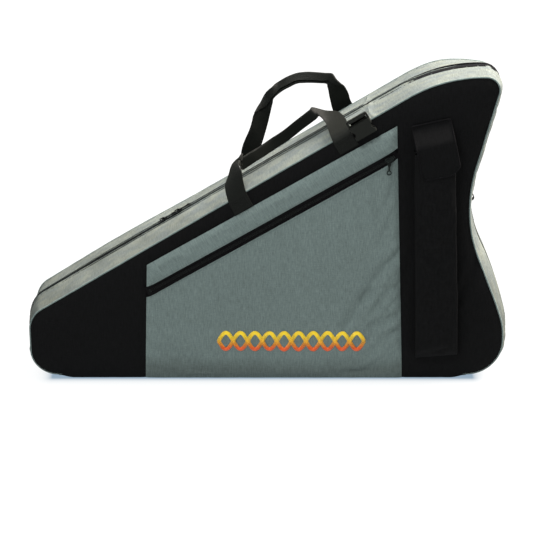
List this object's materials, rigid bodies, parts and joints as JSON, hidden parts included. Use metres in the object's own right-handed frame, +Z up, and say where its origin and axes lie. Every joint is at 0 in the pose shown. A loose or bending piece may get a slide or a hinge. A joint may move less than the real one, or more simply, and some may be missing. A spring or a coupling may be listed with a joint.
{
  "type": "padded harp bag",
  "caption": "Padded soft bag shaped for a small lap harp, with a zippered fold-down front, music pocket, accessory pocket and webbing carry handles.",
  "frame": {"origin": "middle of the flat underside of the bag", "axes": "+X along the bag towards its tall end, +Z up, the front with the music pocket faces -Y"},
  "size_m": [0.9035, 0.191, 0.6],
  "materials": {
    "gray_cloth": "woven polyester, slate gray",
    "black_cloth": "woven polyester, black",
    "webbing": "ribbed polypropylene webbing",
    "lining": "thin woven lining",
    "foam": "closed-cell padding under cloth",
    "tape": "knitted zipper tape",
    "coil": "nylon zipper coil",
    "gunmetal": "black electro-coated zinc",
    "buckle_plastic": "fine moulded acetal",
    "thread": "satin stitch thread, yellow to orange",
    "hook_loop": "hook and loop strip"
  },
  "bodies": {
    "tray": {"back_panel": "black_cloth", "back_foam": "foam", "back_lining": "lining", "back_gusset_slope": "gray_cloth", "back_gusset_end": "gray_cloth", "back_gusset_foam": "foam", "back_gusset_lining": "lining", "back_piping": "gray_cloth", "back_zip_tape": "tape", "back_zip_coil": "coil", "bottom_gusset": "gray_cloth", "bottom_foam": "foam", "bottom_lining": "lining", "fold_binding": "black_cloth", "rear_handle_ends": "webbing", "side_tab": "webbing"},
    "lid": {"front_foam": "foam", "front_lining": "lining", "nose_panel": "black_cloth", "shoulder_band": "black_cloth", "end_panel": "black_cloth", "pocket_backing": "black_cloth", "pocket_strip": "gray_cloth", "pocket_panel": "gray_cloth", "pocket_zip_tape": "tape", "pocket_zip_coil": "coil", "pocket_zip_stops": "gunmetal", "ornament": "thread", "front_gusset_slope": "gray_cloth", "front_gusset_end": "gray_cloth", "front_gusset_foam": "foam", "front_gusset_lining": "lining", "front_piping": "gray_cloth", "front_zip_tape": "tape", "front_zip_coil": "coil", "front_handle_ends": "webbing", "accessory_pocket": "black_cloth", "loop_strip": "hook_loop", "buckle_tab": "webbing"},
    "front_handle": {"front_handle": "webbing"},
    "rear_handle": {"rear_handle": "webbing"},
    "pocket_flap": {"pocket_flap": "black_cloth", "hook_strip": "hook_loop"},
    "buckle": {"buckle": "buckle_plastic"},
    "lower_slider": {"lower_slider": "gunmetal"},
    "lower_pull": {"lower_pull": "gunmetal"},
    "upper_slider": {"upper_slider": "gunmetal"},
    "upper_pull": {"upper_pull": "gunmetal"},
    "pocket_slider": {"pocket_slider": "gunmetal"},
    "pocket_pull": {"pocket_pull": "gunmetal"}
  },
  "joints": [
    {"name": "lid_fold", "type": "hinge", "parent": "tray", "child": "lid", "pos_m": [0, -0.072, 0.008], "axis": [1, 0, 0], "range_deg": [0, 90]},
    {"name": "front_handle_swing", "type": "hinge", "parent": "lid", "child": "front_handle", "pos_m": [-0.0047, -0.082, 0.40485], "axis": [0.8532, 0, 0.5217], "range_deg": [0, 205]},
    {"name": "rear_handle_swing", "type": "hinge", "parent": "tray", "child": "rear_handle", "pos_m": [-0.00313, 0.082, 0.40229], "axis": [0.8532, 0, 0.5217], "range_deg": [-130, 40]},
    {"name": "flap_lift", "type": "hinge", "parent": "lid", "child": "pocket_flap", "pos_m": [0.2966, -0.083, 0.5077], "axis": [-0.9763, 0, -0.2164], "range_deg": [0, 135]},
    {"name": "buckle_swing", "type": "hinge", "parent": "lid", "child": "buckle", "pos_m": [0.16096, -0.09, 0.5202], "axis": [-0.8532, 0, -0.5217], "range_deg": [0, 150]},
    {"name": "lower_slider_travel", "type": "slide", "parent": "tray", "child": "lower_slider", "axis": [0.8532, 0, 0.5217], "range_m": [-0.26, 0]},
    {"name": "lower_pull_flip", "type": "hinge", "parent": "lower_slider", "child": "lower_pull", "pos_m": [-0.19517, 0, 0.29272], "axis": [0, -1, 0], "range_deg": [0, 160]},
    {"name": "upper_slider_travel", "type": "slide", "parent": "tray", "child": "upper_slider", "axis": [0.8532, 0, 0.5217], "range_m": [0, 0.45]},
    {"name": "upper_pull_flip", "type": "hinge", "parent": "upper_slider", "child": "upper_pull", "pos_m": [-0.16702, 0, 0.30994], "axis": [0, -1, 0], "range_deg": [0, 160]},
    {"name": "pocket_slider_travel", "type": "slide", "parent": "lid", "child": "pocket_slider", "axis": [0.8626, 0, 0.5058], "range_m": [-0.49, 0]},
    {"name": "pocket_pull_flip", "type": "hinge", "parent": "pocket_slider", "child": "pocket_pull", "pos_m": [0.222, -0.0906, 0.44038], "axis": [-1, 0, 0], "range_deg": [0, 150]}
  ]
}
